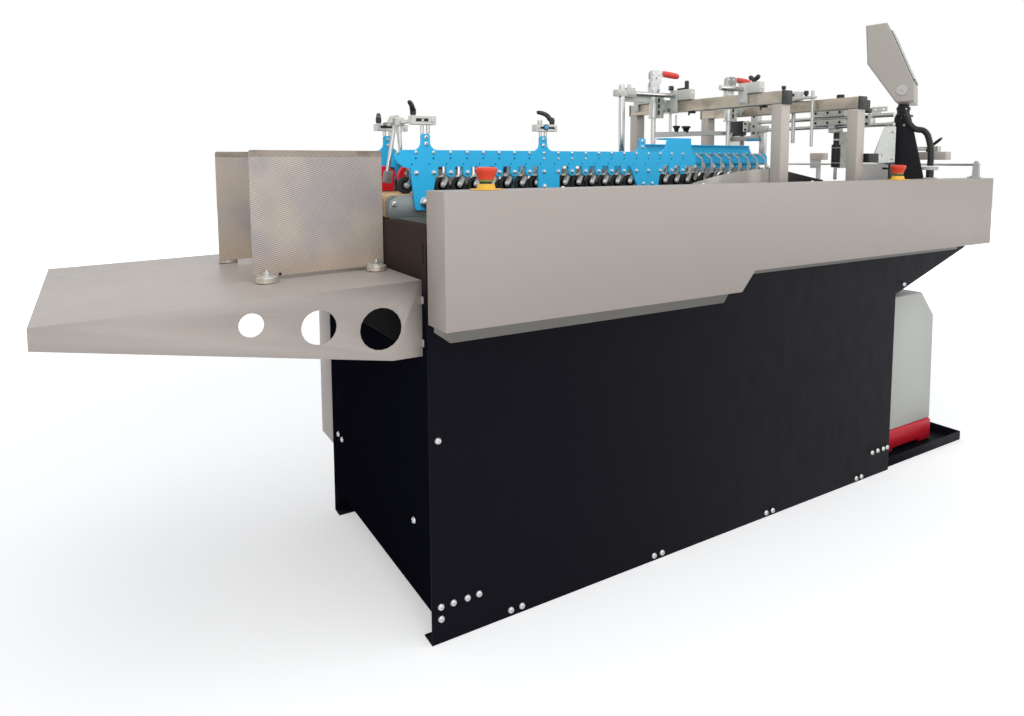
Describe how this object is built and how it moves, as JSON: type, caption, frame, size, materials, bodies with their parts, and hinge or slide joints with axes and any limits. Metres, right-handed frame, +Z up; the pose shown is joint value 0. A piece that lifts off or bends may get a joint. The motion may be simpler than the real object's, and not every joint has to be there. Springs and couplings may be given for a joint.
{
  "type": "box folding and gluing machine",
  "caption": "Folding-box gluer with a black cabinet, warm grey side covers, a wedge feed table, blue roller rails, two tooling gantries, a swivel screen and a compressor tray.",
  "frame": {"origin": "middle of the footprint, on the floor", "axes": "+X along the machine from infeed to outfeed, +Y from the operator's side to the far side, +Z up"},
  "size_m": [2.587, 0.8645, 1.378],
  "materials": {
    "black_paint": "black powder coat, fine texture",
    "dark_deck": "dark brown-black powder coat",
    "beige_paint": "warm grey powder coat, satin",
    "grey_steel": "grey zinc-plated sheet",
    "stainless": "bright stainless sheet",
    "tan_belt": "tan flat belt with a napped cover",
    "grey_green": "grey-green paint",
    "blue_paint": "light blue powder coat",
    "roller": "grey cast arms with black rubber tyres",
    "red_plastic": "red moulded plastic",
    "rubber": "black rubber",
    "zinc": "zinc-plated steel",
    "carrier_paint": "pale grey paint",
    "alloy": "natural aluminium",
    "bright_steel": "ground steel bar",
    "tube_steel": "warm grey paint, bare crossbar, black end caps",
    "black_plastic": "black moulded plastic",
    "handle_red": "red dipped grip",
    "stop_red": "red mushroom head",
    "stop_yellow": "yellow collar and disc",
    "white_sheet": "white laminate",
    "bezel": "pale grey screen surround",
    "pump_grey": "light grey moulded cover",
    "pump_red": "red painted base"
  },
  "bodies": {
    "frame": {"near_side_panel": "black_paint", "far_side_panel": "black_paint", "infeed_panel": "black_paint", "outfeed_panel": "black_paint", "deck": "dark_deck", "near_side_cover": "beige_paint", "cover_backing_plate": "grey_steel", "far_side_cover": "beige_paint", "electrical_cabinet": "beige_paint", "feed_table": "beige_paint", "near_stack_guide": "stainless", "far_stack_guide": "stainless", "near_carrier_belt": "tan_belt", "far_carrier_belt": "tan_belt", "near_belt_beam": "grey_green", "far_belt_beam": "grey_green", "near_rail": "blue_paint", "far_rail": "blue_paint", "near_press_rollers": "roller", "far_press_rollers": "roller", "near_feed_gate": "red_plastic", "far_feed_gate": "red_plastic", "feed_wheel_fork": "zinc", "near_rail_clamp": "alloy", "far_rail_clamp": "alloy", "middle_rail_clamp": "alloy", "first_gantry": "tube_steel", "second_gantry": "tube_steel", "inner_tool_carrier": "carrier_paint", "outer_tool_carrier": "carrier_paint", "far_tool_carrier": "carrier_paint", "feed_belt": "tan_belt", "first_clamp_body": "zinc", "second_clamp_body": "zinc", "flat_guide_bar": "bright_steel", "cross_shafts": "bright_steel", "press_cylinder": "grey_green", "plough_sheet": "stainless", "outfeed_apron": "white_sheet", "outfeed_cross_rod": "zinc", "screen_post": "black_paint", "screen_conduit": "black_plastic", "conduit_gland": "black_plastic", "infeed_stop_base": "stop_yellow", "outfeed_stop_base": "stop_yellow", "base_tray": "black_paint", "compressor_base": "pump_red", "compressor_cover": "pump_grey"},
    "infeed_stop": {"infeed_stop_button": "stop_red"},
    "outfeed_stop": {"outfeed_stop_button": "stop_red"},
    "wheel": {"feed_wheel": "rubber"},
    "screen": {"screen_housing": "beige_paint", "screen_panel": "bezel"},
    "first_handle": {"first_clamp_handle": "handle_red"},
    "second_handle": {"second_clamp_handle": "handle_red"},
    "first_rod": {"first_plunger": "bright_steel"},
    "second_rod": {"second_plunger": "bright_steel"},
    "near_lever": {"near_clamp_lever": "black_plastic"},
    "far_lever": {"far_clamp_lever": "black_plastic"},
    "middle_lever": {"middle_clamp_lever": "black_plastic"}
  },
  "joints": [
    {"name": "infeed_stop_push", "type": "slide", "parent": "frame", "child": "infeed_stop", "axis": [0, 0, -1], "range_m": [0, 0.003], "stiffness_N_per_m": 800},
    {"name": "outfeed_stop_push", "type": "slide", "parent": "frame", "child": "outfeed_stop", "axis": [0, 0, -1], "range_m": [0, 0.003], "stiffness_N_per_m": 800},
    {"name": "feed_wheel_spin", "type": "hinge", "parent": "frame", "child": "wheel", "pos_m": [-0.6209, -0.1048, 0.9068], "axis": [0, 1, 0], "continuous": true},
    {"name": "screen_swivel", "type": "hinge", "parent": "frame", "child": "screen", "pos_m": [0.9685, -0.2758, 1.14], "axis": [0, 0, 1], "range_deg": [-90, 90]},
    {"name": "first_handle_turn", "type": "hinge", "parent": "frame", "child": "first_handle", "pos_m": [0.305, 0.1322, 1.229], "axis": [0, 1, 0], "range_deg": [-80, 0]},
    {"name": "second_handle_turn", "type": "hinge", "parent": "frame", "child": "second_handle", "pos_m": [0.635, 0.1322, 1.229], "axis": [0, 1, 0], "range_deg": [-80, 0]},
    {"name": "first_rod_lift", "type": "slide", "parent": "frame", "child": "first_rod", "axis": [0, 0, 1], "range_m": [0, 0.015]},
    {"name": "second_rod_lift", "type": "slide", "parent": "frame", "child": "second_rod", "axis": [0, 0, 1], "range_m": [0, 0.015]},
    {"name": "near_lever_turn", "type": "hinge", "parent": "frame", "child": "near_lever", "pos_m": [-0.609, -0.1268, 1.0573], "axis": [0, 0, 1], "range_deg": [-90, 90]},
    {"name": "far_lever_turn", "type": "hinge", "parent": "frame", "child": "far_lever", "pos_m": [-0.6215, 0.0572, 1.0473], "axis": [0, 0, 1], "range_deg": [-90, 90]},
    {"name": "middle_lever_turn", "type": "hinge", "parent": "frame", "child": "middle_lever", "pos_m": [-0.2525, -0.1268, 1.0468], "axis": [0, 0, 1], "range_deg": [-90, 90]}
  ],
  "couplings": [
    {"joint": "first_rod_lift", "follows": "first_handle_turn", "m_per_rad": -0.010743},
    {"joint": "second_rod_lift", "follows": "second_handle_turn", "m_per_rad": -0.010743}
  ]
}
